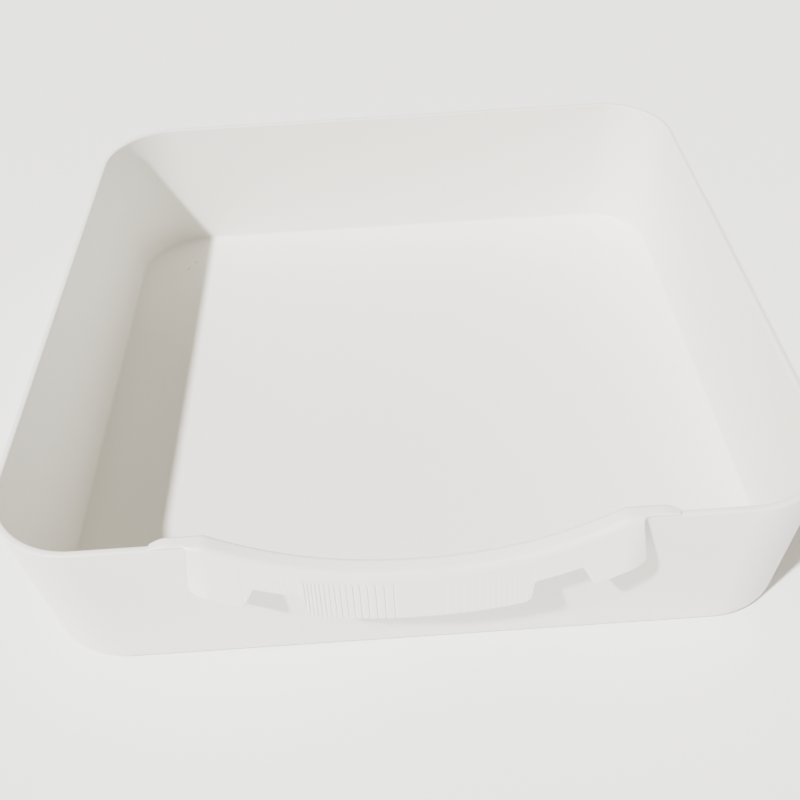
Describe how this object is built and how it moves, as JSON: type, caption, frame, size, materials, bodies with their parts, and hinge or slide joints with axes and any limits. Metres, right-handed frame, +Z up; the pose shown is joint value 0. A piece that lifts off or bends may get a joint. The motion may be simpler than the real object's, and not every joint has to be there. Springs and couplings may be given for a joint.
{
  "type": "developing tray",
  "caption": "Deep open rectangular developing tray with rounded corners, a dipped pouring lip and a ribbed clip-on grip along the lip.",
  "frame": {"origin": "middle of the flat underside of the basin, on the bench", "axes": "+Z up out of the tray, +Y away from the pouring lip, +X to the right of someone facing the lip"},
  "size_m": [0.35, 0.3501, 0.086],
  "materials": {
    "basin_polypropylene": "satin white polypropylene",
    "grip_polypropylene": "satin white polypropylene, ribbed"
  },
  "bodies": {
    "root": {"tray_basin": "basin_polypropylene", "front_grip": "grip_polypropylene"}
  },
  "joints": []
}
